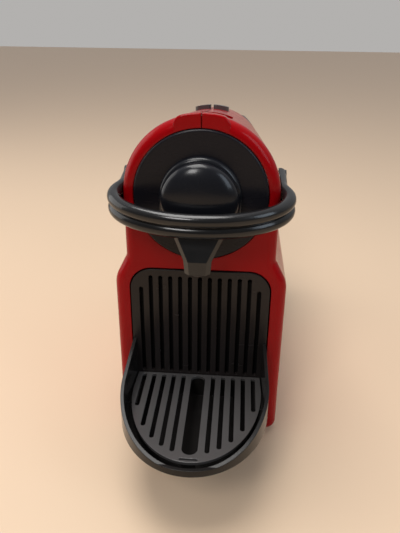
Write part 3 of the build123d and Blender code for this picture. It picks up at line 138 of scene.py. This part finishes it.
def moulded(name, colour, rough, grain, vary=0.10, rough_vary=0.04, depth=FINE_GRAIN, specular=0.5,
            coat=0.0, metallic=0.0, edge=EDGE_R):
    """A faint drift of colour and gloss, a fine grain and edges that look slightly rounded."""
    material = bpy.data.materials.new(name)
    material.use_nodes = True
    tree = material.node_tree
    shader = tree.nodes["Principled BSDF"]
    shader.inputs["Metallic"].default_value = metallic
    shader.inputs["Specular IOR Level"].default_value = specular
    shader.inputs["Coat Weight"].default_value = coat
    shader.inputs["Coat Roughness"].default_value = COAT_ROUGH
    drift = noise_node(tree, DRIFT_SCALE, PLAIN_DETAIL)
    amount = ramp_node(tree, drift, "Fac", 0, 1)
    dark = tuple(c * (1 - vary) for c in colour)
    light = tuple(c * (1 + vary) for c in colour)
    link(tree, colour_node(tree, amount, dark, light), MIX_RESULT, shader, "Base Color")
    wipe = noise_node(tree, WIPE_SCALE, WIPE_DETAIL, WIPE_STRETCH)
    gloss = ramp_node(tree, wipe, "Fac", max(rough - rough_vary, LEAST_ROUGH), rough + rough_vary)
    link(tree, gloss, "Result", shader, "Roughness")
    fine = noise_node(tree, grain, PLAIN_DETAIL)
    bump = tree.nodes.new("ShaderNodeBump")
    bump.inputs["Strength"].default_value = 1.0
    bump.inputs["Distance"].default_value = depth
    link(tree, fine, "Fac", bump, "Height")
    soft = tree.nodes.new("ShaderNodeBevel")
    soft.samples = EDGE_SAMPLES
    soft.inputs["Radius"].default_value = edge
    link(tree, soft, "Normal", bump, "Normal")
    link(tree, bump, "Normal", shader, "Normal")
    return material


# Finishes that the photograph shows
RED = moulded("red_gloss", (0.275, 0.0012, 0.003), rough=0.20, grain=260, vary=0.05, rough_vary=0.03,
              specular=0.11, coat=0.07, edge=CASING_EDGE_R)
BLACK = moulded("black_satin", (0.0085, 0.008, 0.011), rough=0.27, grain=1400, specular=0.2)
DOME = moulded("dome_gloss", (0.0075, 0.008, 0.0105), rough=0.21, grain=1400, rough_vary=0.03,
               specular=0.3, coat=0.08)
# Black plastic of the capsule bin, made darker than the other blacks as painted shade, so the slots of
# the front panel read dark
INSIDE_WITH_PAINTED_SHADE = moulded("black_matte_with_painted_shade", (0.004, 0.004, 0.0045), rough=0.60, grain=1400, specular=0.08)
TRAY = moulded("tray_gloss", (0.012, 0.011, 0.0105), rough=0.17, grain=500, specular=0.2)
PANEL = moulded("panel_gloss", (0.018, 0.0145, 0.014), rough=0.24, grain=900, specular=0.2)
GLOSS = moulded("black_gloss", (0.010, 0.010, 0.0105), rough=0.17, grain=900, specular=0.45)
# Dark grey plastic of the drip grid, its colour lifted well above the other blacks as painted
# reflection of the room
GRID_WITH_PAINTED_REFLECTION = moulded("grid_gloss_with_painted_reflection", (0.066, 0.062, 0.061), rough=0.20, grain=500, specular=0.7)
GREY = moulded("dark_grey", (0.070, 0.062, 0.060), rough=0.36, grain=1400, rough_vary=0.05)

# Finishes of what it doesn't show
RUBBER = moulded("rubber", (0.016, 0.016, 0.016), rough=0.75, grain=2200, vary=0.12, rough_vary=0.08,
                 depth=RUBBER_GRAIN)
STEEL = moulded("steel", (0.62, 0.62, 0.60), rough=0.28, grain=900, vary=0.05, rough_vary=0.08,
                metallic=1.0)
ALUMINIUM = moulded("aluminium", (0.77, 0.77, 0.78), rough=0.38, grain=700, vary=0.05, rough_vary=0.08,
                    depth=CAST_GRAIN, metallic=1.0)
WHITE = moulded("white_plastic", (0.72, 0.71, 0.67), rough=0.42, grain=1200, vary=0.04, rough_vary=0.05,
                depth=LIGHT_GRAIN)
SILICONE = moulded("silicone", (0.66, 0.66, 0.63), rough=0.50, grain=1200, vary=0.04, rough_vary=0.05,
                   depth=LIGHT_GRAIN)
BOARD = moulded("board_green", (0.03, 0.16, 0.07), rough=0.35, grain=900, rough_vary=0.08,
                depth=LIGHT_GRAIN)
RESIN = moulded("coil_resin", (0.06, 0.045, 0.035), rough=0.45, grain=900, rough_vary=0.05,
                depth=CAST_GRAIN)
TANK_CLEARNESS = 0.9
TANK_IOR = 1.3


def smoked():
    """See-through smoked plastic of the water tank."""
    material = moulded("smoked_clear", (0.30, 0.31, 0.33), rough=0.12, grain=200, vary=0.03)
    shader = material.node_tree.nodes["Principled BSDF"]
    shader.inputs["Transmission Weight"].default_value = TANK_CLEARNESS
    shader.inputs["IOR"].default_value = TANK_IOR
    return material


SMOKED = smoked()

NODE_MATERIALS = {
    RED: ["left_housing", "right_housing", "capsule_door"],
    BLACK: ["base", "rear_cover", "face_disc", "tank_lid"],
    DOME: ["face_dome"],
    INSIDE_WITH_PAINTED_SHADE: ["capsule_bin"],
    TRAY: ["drip_tray"],
    PANEL: ["front_grid"],
    GLOSS: ["lever_loop", "lever_bushes", "spout"],
    GRID_WITH_PAINTED_REFLECTION: ["drip_grid"],
    GREY: ["spout_nozzle", "small_cup_button", "large_cup_button"],
    RUBBER: ["feet", "cord_gland", "brew_seal", "pump_pads", "valve_seal"],
    STEEL: ["casing_screws", "lever_shafts", "extraction_plate", "boiler_mounts", "thermostats",
            "pump_bracket", "pump_plunger", "pump_spring", "small_cup_spring", "large_cup_spring",
            "valve_spring"],
    ALUMINIUM: ["capsule_cage", "boiler"],
    WHITE: ["brew_frame", "cage_carriage", "pump_body", "flow_meter", "flow_impeller", "tank_socket",
            "valve_plunger", "valve_cage"],
    SILICONE: ["tank_hose", "meter_hose", "boiler_hose"],
    BOARD: ["control_board", "button_board"],
    RESIN: ["pump_coil"],
    SMOKED: ["tank_shell"],
}


def dress_nodes():
    for material, names in NODE_MATERIALS.items():
        for name in names:
            data = nodes[name].data
            data.materials.clear()
            data.materials.append(material)


# Springs, with the piece that presses each, and whether their upper end is the fixed one
SPRINGS = {
    "small_cup_spring": ("small_button_press", False),
    "large_cup_spring": ("large_button_press", False),
    "pump_spring": ("plunger_stroke", True),
}


def make_springs():
    for node, (joint, held_at_top) in SPRINGS.items():
        spring = bpy.data.objects.new(f"{node}_coil", nodes[node].data.copy())
        scene.collection.objects.link(spring)
        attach(spring, "machine")
        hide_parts(node)
        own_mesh(spring)


# Floor, with its half width in metres
FLOOR_HALF = 3.0
FLOOR_COLOUR = (0.66, 0.49, 0.34)
FLOOR_ROUGH = 0.55


def make_floor():
    material = bpy.data.materials.new("floor")
    material.use_nodes = True
    shader = material.node_tree.nodes["Principled BSDF"]
    shader.inputs["Base Color"].default_value = (*FLOOR_COLOUR, 1)
    shader.inputs["Roughness"].default_value = FLOOR_ROUGH
    data = bpy.data.meshes.new("floor")
    corners = [(x * FLOOR_HALF, y * FLOOR_HALF, 0) for x, y in ((-1, -1), (1, -1), (1, 1), (-1, 1))]
    data.from_pydata(corners, [], [(0, 1, 2, 3)])
    data.materials.append(material)
    floor = bpy.data.objects.new("floor", data)
    scene.collection.objects.link(floor)


# Room light: colours near the floor and overhead, and strengths before and behind the machine
ROOM_LOW = (0.60, 0.585, 0.57)
ROOM_HIGH = (0.95, 0.96, 1.0)
ROOM_HIGH_FROM = 0.8
ROOM_FRONT = 0.13
ROOM_BACK = 0.75
ROOM_FRONT_END = -0.55
ROOM_BACK_FROM = 0.25
WARM_WHITE = (1, 0.98, 0.95)
FRONT_WHITE = (1, 0.98, 0.96)
COOL_WHITE = (0.75, 0.87, 1)


def make_light(name, place, target, size, power, colour):
    """A soft rectangular light, in metres and watts, that faces its target."""
    data = bpy.data.lights.new(name, "AREA")
    data.shape = "RECTANGLE"
    data.size, data.size_y = size
    data.energy = power
    data.color = colour
    lamp = bpy.data.objects.new(name, data)
    lamp.location = place
    lamp.rotation_euler = (Vector(target) - Vector(place)).to_track_quat("-Z", "Y").to_euler()
    scene.collection.objects.link(lamp)


def make_world():
    """Soft room: bright above and behind the machine, dim towards the viewer."""
    world = bpy.data.worlds.new("world")
    world.use_nodes = True
    tree = world.node_tree
    back = tree.nodes["Background"]
    place = tree.nodes.new("ShaderNodeTexCoord")
    axes = tree.nodes.new("ShaderNodeSeparateXYZ")
    link(tree, place, "Generated", axes, "Vector")
    height = ramp_node(tree, axes, "Z", 0, 1, start=0, end=ROOM_HIGH_FROM)
    link(tree, colour_node(tree, height, ROOM_LOW, ROOM_HIGH), MIX_RESULT, back, "Color")
    depth = ramp_node(tree, axes, "Y", ROOM_FRONT, ROOM_BACK, start=ROOM_FRONT_END, end=ROOM_BACK_FROM)
    link(tree, depth, "Result", back, "Strength")
    scene.world = world


def make_lights():
    make_light("overhead", place=(-0.15, -0.05, 1.1), target=(0, 0, 0.1), size=(0.7, 0.5),
               power=8.5, colour=WARM_WHITE)
    make_light("window", place=(1.0, -0.7, 0.8), target=(0, -0.05, 0.12), size=(0.5, 0.8),
               power=4, colour=COOL_WHITE)
    make_light("side", place=(-0.9, 0.1, 0.45), target=(0, -0.05, 0.15), size=(0.8, 0.8),
               power=3, colour=WARM_WHITE)
    make_light("front", place=(-0.5, -1.3, 1.5), target=(0, -0.05, 0.1), size=(0.5, 0.5),
               power=10.5, colour=FRONT_WHITE)
    make_world()


make_camera()
dress_nodes()
make_springs()
make_floor()
make_lights()
scene.view_settings.view_transform = "Standard"
